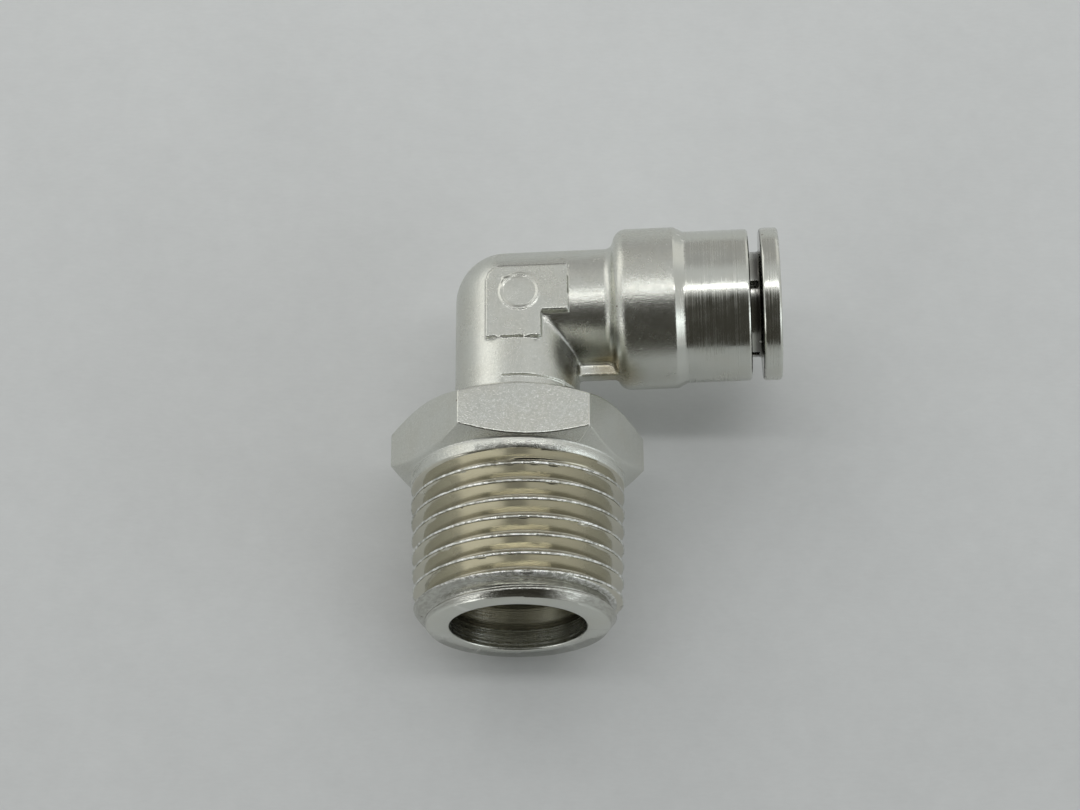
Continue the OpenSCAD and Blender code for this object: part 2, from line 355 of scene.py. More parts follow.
class Plating:
    """Nickel plating: tool rings where the piece is turned about its axis, forged grain elsewhere.

    The marks are added one by one, and finished() gives the material.
    """

    def __init__(self, name, colours, axis, origin, turned_span, rough=0.2):
        self.material, self.shader, place = new_material(name)
        self.place, self.colours = place, colours
        offset = place.vector_math("SUBTRACT", tuple(origin))
        self.along = offset.vector_math("DOT_PRODUCT", tuple(axis), output="Value")
        self.turned = span_mask(self.along, *turned_span, 0.06 * MM)
        self.forged = 1 - self.turned
        self.rings = tool_lines(self.along, place)
        self.pointed = place.node("ShaderNodeNewGeometry", output="Pointiness")
        self.wear = smooth_step(self.pointed, 0.53, 0.62)
        self.chips = noise(place, 3200, 3.0, 0.7)
        self.clouds = noise(place, 260, 3.0, 0.55)
        self.smears = noise(place, 1300, 2.0, 0.6)
        grain = noise(place, 6000, 4.0, 0.7) * 0.48
        self.height = grain * self.forged + self.rings * self.turned * 0.25
        self.height = self.height + self.chips * self.wear * 0.8
        self.roughness = (self.clouds - 0.5) * 0.12 + (self.smears - 0.5) * 0.12 + self.forged * 0.05
        self.roughness = self.roughness + (self.rings - 0.5) * self.turned * 0.55
        self.roughness = self.roughness + self.wear * 0.1 + rough
        thin = smooth_step(self.clouds, 0.35, 0.75)
        self.tone = blend_colours(thin * 0.3, opaque(colours.nickel), opaque(colours.worn))

    def tint(self, amount, colour):
        self.tone = blend_colours(amount, self.tone, opaque(colour))

    def stain_and_painted_shade(self, centre, reach, amount, colour):
        """A round tint that fades out at its reach: a real stain where it is brass, painted shade
        where it is dark.
        """
        away = self.place.vector_math("DISTANCE", tuple(centre), output="Value")
        self.tint((1 - smooth_step(away, reach * 0.4, reach)) * amount, colour)

    def painted_gap_shade(self, low, high):
        """Painted shade in a narrow gap, between two distances along the axis."""
        filled = smooth_step(self.along, low, high - 0.4 * MM)
        filled = filled * (1 - smooth_step(self.along, high, high + 0.12 * MM))
        self.tint(filled * 0.9, self.colours.shade)

    def struck_ring(self, centre, radius):
        """A worn ring struck in a flat pad, with the pad outside it standing a little higher."""
        away = self.place.vector_math("SUBTRACT", tuple(centre))
        away = away.vector_math("CROSS_PRODUCT", PAD_NORMAL).vector_math("LENGTH", output="Value")
        half_lip = 0.02 * MM
        lip = span_mask(away, radius - half_lip, radius + half_lip, 0.28 * MM)
        self.height = self.height + lip * 1.5 + smooth_step(away, radius - 0.3 * MM, radius) * 0.7

    def thread_marks(self, stem):
        """Warm flanks with painted shade at their roots; bruised crests with painted glints; a rubbed
        neck; a turned port; a scored end.
        """
        along, turned, rings, chips = self.along, self.turned, self.rings, self.chips
        away = self.place.stretched(1, 0, 1).vector_math("LENGTH", output="Value")
        inside = smooth_step(stem.drill_radius + 0.4 * MM - away, 0, 0.1 * MM)
        outside = 1 - inside

        below_crest = (along - stem.gauge_length) * TAPER + stem.thread_radius - away
        flanks = smooth_step(below_crest, 0.04 * MM, 0.16 * MM) * span_mask(
            along, stem.first_crest, stem.neck_low - 0.03 * MM, 0.06 * MM
        )
        self.tint(flanks * (self.smears * 0.3 + 0.8), self.colours.worn)
        # painted shade at the roots of the thread, which dims the reflections deep in the grooves
        root_shade_mask = smooth_step(below_crest, 0.95 * MM, 1.25 * MM) * flanks
        self.tint(root_shade_mask * 0.4, self.colours.root)
        self.height = self.height - rings * turned * flanks * 0.22
        self.roughness = self.roughness - (rings - 0.5) * turned * flanks * 0.4

        crests = (1 - flanks) * outside * span_mask(
            along, 1.8 * MM, stem.neck_low - 0.25 * MM, 0.1 * MM
        )
        bruises_and_glints = noise(self.place, 2600, 2.0, 0.6)
        # bright marks on the crests: partly bruised metal, partly painted glints
        self.tint(smooth_step(bruises_and_glints, 0.47, 0.56) * crests * 0.85, self.colours.bruise_and_glint)
        self.tint((1 - smooth_step(bruises_and_glints, 0.38, 0.45)) * crests * 0.3, self.colours.shade)
        self.height = self.height + chips * crests * 1.6 + chips * (1 - flanks) * turned * 0.35

        neck = span_mask(along, stem.neck_low, stem.hex_low, 0.1 * MM)
        self.height = self.height + rings * inside * 0.5 + chips * neck * 0.8
        self.roughness = self.roughness + inside * 0.06 + neck * 0.1

        scored = span_mask(along, 0.3 * MM, 1.9 * MM, 0.2 * MM) * outside
        gouges = noise(self.place.stretched(0.3, 2, 0.3), 4000, 3.0, 0.7)
        self.height = self.height + gouges * scored * 0.55
        self.tint(scored * (smooth_step(gouges, 0.36, 0.62) * 0.4 + 0.25), self.colours.score)

    def finished(self, fleck=0.3, relief=0.05 * MM):
        """Adds the marks that every plated piece has, and feeds them all to the shader."""
        place, colours = self.place, self.colours
        # painted shade: concave creases of the forged pieces are darkened
        shaded_hollows = (1 - smooth_step(self.pointed, 0.44, 0.49)) * self.forged
        self.tint(shaded_hollows * 0.45, colours.shade)
        flecks = smooth_step(noise(place, 6400, 2.0, 0.6), 0.5, 0.7) * (self.smears + 0.25)
        self.tint(flecks * self.forged * fleck, colours.fleck)
        pits = smooth_step(noise(place, 4300, 2.0, 0.6), 0.56, 0.74)
        self.tint(pits * self.forged * 0.12, colours.shade)
        # convex edges lightened: partly rubbed plating, partly a painted highlight
        self.tint(self.wear * 0.5, colours.rub_and_edge_highlight)
        dirt = dots(place, 420, 0.03, 0.055) * smooth_step(self.clouds, 0.52, 0.6)
        self.tint(dirt * 0.85, colours.speck)
        feed(self.shader, {
            "Base Color": self.tone,
            "Roughness": (self.roughness + dirt * 0.4).at_least(0.08).at_most(0.9),
            "Metallic": 1 - dirt * 0.8,
            "Normal": bump(self.height, 1.0, relief),
        })
        return self.material


def steel_finish(name, colours):
    """Rolled spring steel, with fine scratches and faint warm clouds."""
    material, shader, place = new_material(name)
    scratches = noise(place.stretched(1, 12, 1), 2500, 3.0, 0.6)
    clouds = noise(place, 900)
    feed(shader, {
        "Base Color": blend_colours(clouds * 0.3, opaque(colours.steel), opaque(colours.worn)),
        "Roughness": clouds * 0.2 + 0.24,
        "Metallic": 1.0,
        "Normal": bump(scratches, 0.25, 0.02 * MM),
    })
    return material


def rubber_finish(name, colours):
    """Black moulded rubber with a dusty bloom."""
    material, shader, place = new_material(name)
    skin = noise(place, 5200, 3.0, 0.6)
    bloom = noise(place, 700, 3.0, 0.6)
    dusty = [c + 0.03 for c in colours.rubber]
    cover = smooth_step(bloom, 0.4, 0.7) * 0.6
    feed(shader, {
        "Base Color": blend_colours(cover, opaque(colours.rubber), opaque(dusty)),
        "Roughness": bloom * 0.25 + 0.35,
        "Normal": bump(skin, 0.3, 0.02 * MM),
    })
    return material


def table_finish(settings):
    """Pale fibrous board, mottled, with a few crumbs, and a painted light falloff: lighter towards its
    far side.
    """
    material, shader, place = new_material("pale_table")
    fibres = noise(place.stretched(1, 3, 1), 900, 5.0, 0.7)
    clouds = noise(place, 45, 4.0, 0.6)
    mottle = noise(place, 420, 2.0, 0.6)
    shade = (clouds - 0.5) * 0.4 + (mottle - 0.5) * 0.25 + (fibres - 0.5) * 0.3
    # painted light: darker towards the near side, lighter towards the far side
    shade = shade + (place.part("Y") - 25 * MM) * 5 + 0.5
    dark = [c * 0.84 for c in settings.table]
    light = [min(1.0, c * 1.12) for c in settings.table]
    tone = blend_colours(shade.at_least(0).at_most(1), opaque(dark), opaque(light))
    crumbs = dots(place, 70, 0.012, 0.03) * smooth_step(clouds, 0.5, 0.56)
    feed(shader, {
        "Base Color": blend_colours(crumbs * 0.3, tone, opaque(settings.crumb)),
        "Roughness": fibres * 0.1 + 0.55,
        "Normal": bump(fibres, 0.2, 0.04 * MM),
    })
    return material


# Mesh work


def outline_arc(centre, radius, start, end, steps):
    """Points on an arc, in degrees, around a centre."""
    angles = np.radians(np.linspace(start, end, steps + 1))
    return [(centre[0] + radius * math.cos(a), centre[1] + radius * math.sin(a)) for a in angles]


def outline_distance(u, v, outline):
    """Signed distance from the points (u, v) to a closed outline, negative inside."""
    nearest = np.full(u.shape, np.inf, np.float32)
    inside = np.zeros(u.shape, bool)
    for (ax, ay), (bx, by) in zip(outline, outline[1:] + outline[:1]):
        ex, ey = bx - ax, by - ay
        if ex == 0 and ey == 0:
            continue
        wx, wy = u - ax, v - ay
        t = np.clip((wx * ex + wy * ey) / (ex * ex + ey * ey), 0, 1)
        nearest = np.minimum(nearest, (wx - ex * t) ** 2 + (wy - ey * t) ** 2)
        if ey:
            inside ^= ((ay > v) != (by > v)) & (wx < wy * (ex / ey))
    return np.sqrt(nearest) * np.where(inside, -1, 1)


def blend_union(first, second, radius):
    """Smallest of two distances, with a fillet of about that radius where they meet."""
    near = np.maximum(radius - np.abs(first - second), 0) / radius
    return np.minimum(first, second) - near * near * radius * 0.25


def slope_of(distance, points, step):
    """Unit normals of a distance function at some points."""
    slope = np.stack([
        distance(*(points + step * unit).T) - distance(*(points - step * unit).T)
        for unit in np.eye(3)
    ], 1)
    return slope / (np.linalg.norm(slope, axis=1)[:, None] + 1e-12)


def crossings(distance, grid, values, axis, cell):
    """Where the surface cuts the grid's edges along one axis: cell, point, normal and side.

    Each crossing is closed in on in a few steps, none of which lands on an end of what is left.
    """
    size = values.shape[axis]
    first = np.take(values, range(size - 1), axis)
    second = np.take(values, range(1, size), axis)
    index = np.argwhere((first < 0) != (second < 0))
    a = first[tuple(index.T)]
    b = second[tuple(index.T)]
    base = np.stack([grid[n][index[:, n]] for n in range(3)], 1).astype(np.float64)
    low, high = np.zeros(len(a)), np.ones(len(a))
    for _ in range(4):
        share = low + (high - low) * np.clip(a / (a - b), 0.05, 0.95)
        point = base.copy()
        point[:, axis] += share * cell
        value = distance(*point.T)
        same = (value < 0) == (a < 0)
        low, a = np.where(same, share, low), np.where(same, value, a)
        high, b = np.where(same, high, share), np.where(same, b, value)
    share = low + (high - low) * a / (a - b)
    point = base
    point[:, axis] += share * cell
    solid_first = first[tuple(index.T)] < 0
    return index, point, slope_of(distance, point, 0.01), solid_first


def surface_of(distance, low, high, cell):
    """Quads on the zero surface of a distance function, with a corner kept where it has one.

    A cell's vertex lies where the planes of its crossings meet, held a little towards their
    middle by the share steadiness, and within the cell by roam.
    """
    steadiness, roam = 0.03, 0.55
    grid = [np.arange(a, b + cell, cell) for a, b in zip(low, high)]
    values = distance(*np.meshgrid(*[g.astype(np.float32) for g in grid], indexing="ij"))
    shape = values.shape
    owners, points, normals, quads = [], [], [], []
    for axis in range(3):
        index, point, normal, solid_first = crossings(distance, grid, values, axis, cell)
        one, two = (axis + 1) % 3, (axis + 2) % 3
        ring = []
        for shift_one, shift_two in ((-1, -1), (0, -1), (0, 0), (-1, 0)):
            owner = index.copy()
            owner[:, one] += shift_one
            owner[:, two] += shift_two
            ring.append(np.ravel_multi_index(owner.T, shape))
            points.append(point)
            normals.append(normal)
        owners += ring
        ring = np.stack(ring, 1)
        quads.append(np.where(solid_first[:, None], ring, ring[:, ::-1]))
    owners, points, normals = (np.concatenate(each) for each in (owners, points, normals))
    cells, compact = np.unique(owners, return_inverse=True)

    def total(weights):
        return np.bincount(compact, weights, len(cells))

    count = total(np.ones(len(compact)))
    centre = np.stack([total(points[:, n]) / count for n in range(3)], 1)
    pull = (normals * (points - centre[compact])).sum(1)
    right = np.stack([total(normals[:, n] * pull) for n in range(3)], 1)
    left = np.empty((len(cells), 3, 3))
    for row in range(3):
        for column in range(3):
            left[:, row, column] = total(normals[:, row] * normals[:, column])
    left += np.eye(3) * steadiness * count[:, None, None]
    vertex = centre + np.linalg.solve(left, right[:, :, None])[:, :, 0]
    corner = np.stack([grid[n][i] for n, i in enumerate(np.unravel_index(cells, shape))], 1)
    middle = corner + cell / 2
    vertex = np.clip(vertex, middle - roam * cell, middle + roam * cell)
    return vertex, np.searchsorted(cells, np.concatenate(quads))


def piece_from(name, vertices, faces, material):
    mesh = bpy.data.meshes.new(name)
    mesh.from_pydata([tuple(v) for v in vertices], [], [tuple(f) for f in faces])
    mesh.shade_smooth()
    mesh.materials.append(material)
    piece = bpy.data.objects.new(name, mesh)
    bpy.context.scene.collection.objects.link(piece)
    return piece


def open_tree(name, *labels):
    """Starts a Geometry Nodes tree, and gives a Wire for each of its inputs by its name."""
    tree = bpy.data.node_groups.new(name, "GeometryNodeTree")
    kinds = {"Geometry": "Geometry", **dict.fromkeys(labels, "Float"), "Material": "Material"}
    for label, kind in kinds.items():
        tree.interface.new_socket(label, in_out="INPUT", socket_type="NodeSocket" + kind)
    tree.interface.new_socket("Geometry", in_out="OUTPUT", socket_type="NodeSocketGeometry")
    return tree, {label: Wire(tree).node("NodeGroupInput", output=label) for label in kinds}


def close_tree(geometry, material):
    """Ends a Geometry Nodes tree: merges doubles, makes instances real and sets the material."""
    merged = geometry.node(
        "GeometryNodeMergeByDistance", {}, {"Geometry": geometry, "Distance": CLOSE}
    )
    real = merged.node("GeometryNodeRealizeInstances", {}, {"Geometry": merged})
    covered = real.node("GeometryNodeSetMaterial", {}, {"Geometry": real, "Material": material})
    covered.node("NodeGroupOutput", {}, {0: covered})


def apply_tree(piece, tree, values):
    """Runs a Geometry Nodes tree on a piece and keeps its result as the piece's plain mesh."""
    modifier = piece.modifiers.new(tree.name, "NODES")
    modifier.node_group = tree
    for item in tree.interface.items_tree:
        if item.in_out == "INPUT" and item.name in values:
            modifier[item.identifier] = values[item.name]
    graph = bpy.context.evaluated_depsgraph_get()
    result = bpy.data.meshes.new_from_object(piece.evaluated_get(graph))
    piece.modifiers.remove(modifier)
    result.name = piece.data.name
    piece.data = result


def tidy_mesh(piece):
    """Merges doubles, drops faces that have shrunk to nothing, and turns the rest outwards."""
    work = bmesh.new()
    work.from_mesh(piece.data)
    bmesh.ops.remove_doubles(work, verts=work.verts, dist=CLOSE)
    bmesh.ops.dissolve_degenerate(work, edges=work.edges, dist=CLOSE * 0.1)
    bmesh.ops.recalc_face_normals(work, faces=work.faces)
    work.to_mesh(piece.data)
    work.free()
    piece.data.shade_smooth()


def from_arm(points):
    """Takes points from the arm's own axes, in millimetres, to the fitting's frame, in metres."""
    return np.asarray(points) @ ARM_AXES.T * MM + ARM_ORIGIN


def to_arm(points):
    """Takes points from the fitting's frame, in metres, to the arm's own axes, in millimetres."""
    return (points - ARM_ORIGIN) @ ARM_AXES / MM


def carved_piece(name, distance, low, high, cell, material):
    """A piece whose surface and normals both come from a distance function about the arm."""
    vertices, faces = surface_of(distance, low, high, cell)
    piece = piece_from(name, from_arm(vertices), faces, material)
    tidy_mesh(piece)
    places = np.empty(len(piece.data.vertices) * 3)
    piece.data.vertices.foreach_get("co", places)
    normals = slope_of(distance, to_arm(places.reshape(-1, 3)), 0.03) @ ARM_AXES.T
    piece.data.normals_split_custom_set_from_vertices(normals)
    return piece


def hand_over(piece, body, slot, *nodes):
    """Gives a finished piece to the body that it moves with, in place of its plain nodes."""
    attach(piece, body)
    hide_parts(*nodes)


# Elbow


def arm_outline(s):
    """Outer outline of arm and socket as (radius, distance along the arm), in millimetres."""
    r, start, end = s.tube_radius / MM, s.flare_start / MM, s.flare_end / MM
    outer, turned, mouth = s.socket_radius / MM, s.turned_radius / MM, s.socket_end / MM
    inner_bend, outer_bend, mouth_edge = 0.9, 1.4, 0.35
    neck, neck_start = r - 0.4, 8
    return (
        [(-1, neck_start), (neck, neck_start), (neck, start - 0.2)]
        + outline_arc((r + inner_bend, start), inner_bend, 180, 107, 8)
        + outline_arc((outer - outer_bend, end), outer_bend, -73, 0, 8)
        + [(outer, s.shoulder / MM), (turned, s.turned_start / MM)]
        + outline_arc((turned - mouth_edge, mouth - mouth_edge), mouth_edge, 0, 90, 5)
        + [(-1, mouth)]
    )


def socket_bore_outline(s):
    """Inside of the arm: flow passage, tube guide, seal seat, grip chamber and throat."""
    flow, mouth = s.flow_radius / MM, s.socket_end / MM
    guide, seat, chamber, throat = 4.1, 5.45, 6.2, 5.5
    guide_start, seat_start, chamber_start, chamber_end, throat_start = 8, 12.8, 15.9, 18.55, 19.7
    return [
        (-1, -0.5), (flow, -0.5), (flow, guide_start), (guide, guide_start), (guide, seat_start),
        (seat, seat_start), (seat, chamber_start), (chamber, chamber_start),
        (chamber, chamber_end), (throat, throat_start), (throat, mouth - 0.2),
        (throat + 0.8, mouth + 0.6), (-1, mouth + 0.6),
    ]


def spigot_outline(s):
    """Spigot with its seal groove and snap ring groove, as (radius, height)."""
    r, foot, top, edge = s.spigot_radius / MM, s.spigot_foot / MM, s.leg_foot / MM + 1, 0.4
    outline = [(-1, foot), (r - edge, foot), (r, foot + edge)]
    for floor, low, high in ((4.5, 9.57, 10.43), (3.8, 15.2, 17.2)):
        outline += [(r, low), (floor, low), (floor, high), (r, high)]
    return outline + [(r, top), (-1, top)]


def pad_outline():
    """L-shaped flat pad, seen along the middle plane's normal, with its outer corner rounded."""
    across, low, inner = 5.6, -5.6, 2.85
    left, top, rounding = -2.65, 2.3, 1.6
    corner = (left + rounding, top - rounding + 0.05)
    return [
        (left, low), (inner, low), (inner, -inner), (across, -inner), (across, top),
        *outline_arc(corner, rounding, 90, 180, 8),
    ]


def elbow_distance(s):
    """Signed distance function of the whole elbow, about the arm's own axes, in millimetres."""
    r = s.tube_radius / MM
    bend = r - s.corner_radius / MM
    foot, land = (s.leg_foot - ARM_HEIGHT) / MM, (s.leg_land - ARM_HEIGHT) / MM
    outer, bore, spigot, pad = arm_outline(s), socket_bore_outline(s), spigot_outline(s), pad_outline()
    flash_height, flash_half_width, land_depth = 0.04, 0.35, 0.06
    arm_end, web_end, web_low, web_fillet, pad_fillet = 12, 11, -7.6, 0.5, 0.15

    def distance(x, y, z):
        around_arm, around_leg = np.hypot(y, z), np.hypot(x, z)
        flash = flash_height * np.exp(-((z / flash_half_width) ** 2))
        corner = np.hypot(np.maximum(-x - bend, 0), np.maximum(y - bend, 0))
        bent = np.hypot(corner + bend, z) - r - flash
        leg = around_leg - r - np.where(y > land, flash, -land_depth)
        crossed = blend_union(leg, around_arm - r - flash, s.fillet / MM)
        forged = np.where((x < -bend) | (y > bend), bent, crossed)
        forged = np.maximum(forged, x - arm_end)
        forged = np.minimum(forged, outline_distance(around_arm, x, outer))
        web = np.maximum.reduce([np.abs(z) - s.web / MM / 2, web_low - y, y, -x, x - web_end])
        forged = blend_union(forged, web, web_fillet)
        raised = np.maximum(outline_distance(x, y, pad), np.abs(z) - s.pad_height / MM)
        forged = blend_union(forged, raised, pad_fillet)
        solid = np.maximum(forged, foot - y)
        solid = np.minimum(solid, outline_distance(around_leg, y + ARM_HEIGHT / MM, spigot))
        passage = np.maximum(around_leg - s.flow_radius / MM, y - 0.5)
        hollow = np.minimum(passage, outline_distance(around_arm, x, bore))
        return np.maximum(solid, -hollow)

    return distance


class FITTING_OT_elbow(bpy.types.Operator):
    """Build the forged elbow with its turned socket and its spigot"""

    bl_idname = "fitting.elbow"
    bl_label = "Elbow body"

    def execute(self, context):
        s, colours = context.scene.fitting_elbow, context.scene.fitting_colours
        plating = Plating(
            "forged_nickel", colours, ARM_DIRECTION, ARM_ORIGIN, (s.shoulder, s.socket_end + MM)
        )
        web_end, crease, pad_middle = from_arm([(10.3, -7, 1), (5.3, -6.6, 3.2), (0.74, -0.6, 0)])
        plating.stain_and_painted_shade(web_end, 3.5 * MM, 0.8, colours.brass)
        # painted shade: a dark patch in the crease between leg and web, standing in for the dark
        # reflection there
        plating.stain_and_painted_shade(crease, 3 * MM, 0.7, colours.shade)
        plating.struck_ring(pad_middle, 1.9 * MM)
        tube, socket, margin = s.tube_radius / MM, s.socket_radius / MM, 0.5
        spigot_foot = (s.spigot_foot - ARM_HEIGHT) / MM
        low = np.array((-tube, spigot_foot, -socket)) - margin
        high = np.array((s.socket_end / MM, socket, socket)) + margin
        elbow = carved_piece(
            "elbow_forging", elbow_distance(s), low, high, s.cell / MM, plating.finished()
        )
        hand_over(elbow, "elbow", "forged_nickel", "elbow_body")
        return {"FINISHED"}


# Collet


def collet_outline(s):
    """Half section of the release collet as (radius, distance along the arm), in millimetres."""
    start, end, flange, head_end = s.start / MM, s.end / MM, s.flange / MM, s.head / MM
    outer, sleeve, head = s.flange_radius / MM, s.sleeve_radius / MM, s.head_radius / MM
    bore, edge, mouth_edge, tooth, tooth_end = s.bore_radius / MM, 0.35, 0.5, 0.2, 18
    return [
        (bore, start), (sleeve, start), (head, start + 0.7), (head, head_end),
        (sleeve, head_end + 1), (sleeve, flange - edge),
        *outline_arc((sleeve + edge, flange - edge), edge, 180, 90, 4),
        *outline_arc((outer - edge, flange + edge), edge, -90, 0, 5),
        *outline_arc((outer - edge, end - edge), edge, 0, 90, 5),
        *outline_arc((bore + mouth_edge, end - mouth_edge), mouth_edge, 90, 180, 5),
        (bore, tooth_end + 0.5), (bore - tooth, tooth_end), (bore, tooth_end),
    ]


class FITTING_OT_collet(bpy.types.Operator):
    """Build the release collet with its slotted gripping sleeve"""

    bl_idname = "fitting.collet"
    bl_label = "Release collet"

    def execute(self, context):
        s = context.scene.fitting_collet
        outline = collet_outline(s)
        half_slot, slot_end, turn = s.slot / MM / 2, s.flange / MM - 0.35, math.radians(5)

        def distance(x, y, z):
            body = outline_distance(np.hypot(y, z), x, outline)
            u = y * math.cos(turn) + z * math.sin(turn)
            v = z * math.cos(turn) - y * math.sin(turn)
            slots = np.maximum(np.minimum(np.abs(u), np.abs(v)) - half_slot, x - slot_end)
            return np.maximum(body, -slots)

        plating = Plating(
            "turned_collet", context.scene.fitting_colours, ARM_DIRECTION, ARM_ORIGIN, ALL_ALONG
        )
        # painted shade in the gap between the socket's mouth and the flange
        plating.painted_gap_shade(s.flange - 1.4 * MM, s.flange + 0.03 * MM)
        margin = 0.4
        reach = s.flange_radius / MM + margin
        low, high = (s.start / MM - margin, -reach, -reach), (s.end / MM + margin, reach, reach)
        collet = carved_piece(
            "release_collet_turned", distance, low, high, s.cell / MM, plating.finished()
        )
        hand_over(collet, "collet", "turned_nickel", "release_collet")
        return {"FINISHED"}


# Stem


def hexagon_columns(across_flats, corner_rounding, flat_steps):
    """Angles round the stem and the hexagon's radius at each, with its corners slightly rounded."""
    apothem, half_side, inset = across_flats / 2, math.radians(30), 0.006
    centre = (apothem - corner_rounding) / math.cos(half_side)
    edge = math.atan2((apothem - corner_rounding) * math.tan(half_side), apothem)
    corner = edge + (half_side - edge) * np.linspace(0, 1, 5)
    flat = np.linspace(inset - edge, edge - inset, flat_steps)
    angles, radii = [], []
    for face in range(6):
        for a in (*-corner[::-1], *flat, *corner[:-1]):
            if abs(a) <= edge:
                radius = apothem / math.cos(a)
            else:
                away = half_side - abs(a)
                chord = corner_rounding**2 - (centre * math.sin(away)) ** 2
                radius = centre * math.cos(away) + math.sqrt(chord)
            angles.append(half_side * (2 * face + 1) + a)
            radii.append(radius)
    return np.array(angles), np.array(radii)


def rounded_outline(points, rounding):
    """Rounds each corner of an open outline with a short arc, and holds the flats beside it.

    Every corner gives seven points, so outlines with the same corners have the same length.
    """
    out = [points[0]]
    for before, corner, after in zip(points, points[1:], points[2:]):
        corner = Vector(corner)
        to_before, to_after = Vector(before) - corner, Vector(after) - corner
        reach = min(rounding, 0.3 * to_before.length, 0.3 * to_after.length)
        if reach < 0.004 * MM:
            out += [tuple(corner)] * 7
            continue
        to_before, to_after = to_before.normalized(), to_after.normalized()
        a, b = corner + to_before * reach, corner + to_after * reach
        hold = 0.35 * reach
        out.append(tuple(a + to_before * hold))
        for t in (0, 0.25, 0.5, 0.75, 1):
            out.append(tuple(a * (1 - t) ** 2 + corner * 2 * t * (1 - t) + b * t * t))
        out.append(tuple(b + to_after * hold))
    out.append(points[-1])
    return out


def thread_rows(s, phase):
    """Places of the rows along the helix, gathered at the edges of crest and root."""
    crest = 0.5 * s.crest_flat / s.pitch
    root = 0.5 - crest - s.depth * FLANK / s.pitch
    lip, flank_inset = 0.004, 0.02
    half = [0, crest * 0.8, crest + lip]
    half += list(np.linspace(crest + flank_inset, 0.5 - root - flank_inset, 5))
    half += [0.5 - root, 0.5 - root * 0.4]
    profile = sorted({round(0.5 + side * step, 5) for side in (-1, 1) for step in half})
    turns = int(s.neck_low / s.pitch) + 3
    places = [whole + step - phase for whole in range(turns) for step in profile]
    return np.array([place for place in places if 0 <= place <= s.neck_low / s.pitch + 1.05])


def stem_outline(s, hex_radius):
    """The stem's section from the neck's foot, over the hexagon and down the bore to the end face."""
    slope = math.tan(math.radians(30))
    foot = s.hex_low + (hex_radius - s.neck_radius + 0.05 * MM) * slope
    top_radius = s.across_flats / 2 / math.cos(math.radians(30)) - s.chamfer / slope
    rim = s.hex_top - (hex_radius - top_radius) * slope
    port_edge = 0.15 * MM
    return [
        (s.neck_radius, s.neck_low), (s.neck_radius, s.hex_low), (hex_radius, foot),
        (hex_radius, rim), (top_radius, s.hex_top), (s.swivel_radius + 0.4 * MM, s.hex_top),
        (s.swivel_radius, s.hex_top - 0.3 * MM), (s.swivel_radius, s.shoulder),
        (s.drill_radius, s.shoulder), (s.drill_radius, s.port_depth + 1.4 * MM),
        (s.port_radius, s.port_depth), (s.port_radius, port_edge), (s.port_radius + port_edge, 0),
        (s.end_radius, 0),
    ]


def stem_blank(s, phase):
    """Vertices and faces of the stem before its thread is cut, and where each vertex is on it.

    Each column is one angle. The thread's rows come first and carry their place along the helix;
    the others carry -1.
    """
    angles, hex_radii = hexagon_columns(s.across_flats, 0.2 * MM, 25)
    angles = np.append(angles, angles[0] + 2 * math.pi)[:, None]
    hex_radii = np.append(hex_radii, hex_radii[0])
    places = np.concatenate([[0], thread_rows(s, phase), [s.neck_low / s.pitch + 1.1]])
    outlines = np.array([rounded_outline(stem_outline(s, radius), s.edge) for radius in hex_radii])
    rows, count, columns = len(places), len(places) + outlines.shape[1], len(angles)

    radius, height, along = (np.empty((columns, count)) for _ in range(3))
    radius[:, :rows], radius[:, rows:] = s.thread_radius, outlines[:, :, 0]
    height[:, :rows], height[:, rows:] = np.linspace(0, s.neck_low, rows), outlines[:, :, 1]
    along[:, :rows], along[:, rows:] = places, -1
    vertices = np.stack([radius * np.cos(angles), height, radius * np.sin(angles)], 2)
    faces = [
        (i * count + j, i * count + k, (i + 1) * count + k, (i + 1) * count + j)
        for i in range(columns - 1) for j, k in zip(range(count), (*range(1, count), 0))
    ]
    bearing = np.repeat(angles, count, 1)
    turn = 1 - (bearing - angles[0]) / (2 * math.pi)
    return vertices.reshape(-1, 3), faces, {"along": along, "turn": turn, "bearing": bearing}


def thread_cutter():
    """Geometry Nodes tree that cuts a tapered helical thread in the rows that carry a place."""
    tree, given = open_tree(
        "cut_taper_thread", "Pitch", "Depth", "Crest flat", "Gauge radius", "Gauge length", "Phase",
        "End radius", "End slope", "Neck radius", "Neck height", "Nick depth",
    )
    along, turn, bearing = (
        Wire(tree).node("GeometryNodeInputNamedAttribute", {"data_type": "FLOAT"}, {"Name": label})
        for label in ("along", "turn", "bearing")
    )
    pitch, neck, neck_height = given["Pitch"], given["Neck radius"], given["Neck height"]
    height = ((along - 1 + turn) * pitch).at_least(0).at_most(neck_height)
    phase = (height / pitch - turn + given["Phase"]).math("FRACT")
    off_crest = ((phase - 0.5).math("ABSOLUTE") * pitch - given["Crest flat"] * 0.5).at_least(0)
    cut = (off_crest / FLANK).at_most(given["Depth"])
    crest = given["Gauge radius"] + (height - given["Gauge length"]) * TAPER
    spot = Wire(tree).node("GeometryNodeInputPosition")
    nick = (noise(spot, 1700, 3.0) - 0.53).at_least(0) * 6 * given["Nick depth"]
    radius = crest - cut.at_least(nick)
    radius = radius.at_most(given["End radius"] + height * given["End slope"])
    radius = radius.at_least(neck - (neck_height - height) / FLANK)
    radius = radius.at_most(neck).at_least(given["End radius"])
    around = {"X": radius * bearing.math("COSINE"), "Y": height, "Z": radius * bearing.math("SINE")}
    threaded = along.math("GREATER_THAN", -0.5)
    close_tree(threaded.node("GeometryNodeSetPosition", {}, {
        "Geometry": given["Geometry"], "Selection": threaded,
        "Position": height.node("ShaderNodeCombineXYZ", {}, around),
    }), given["Material"])
    return tree


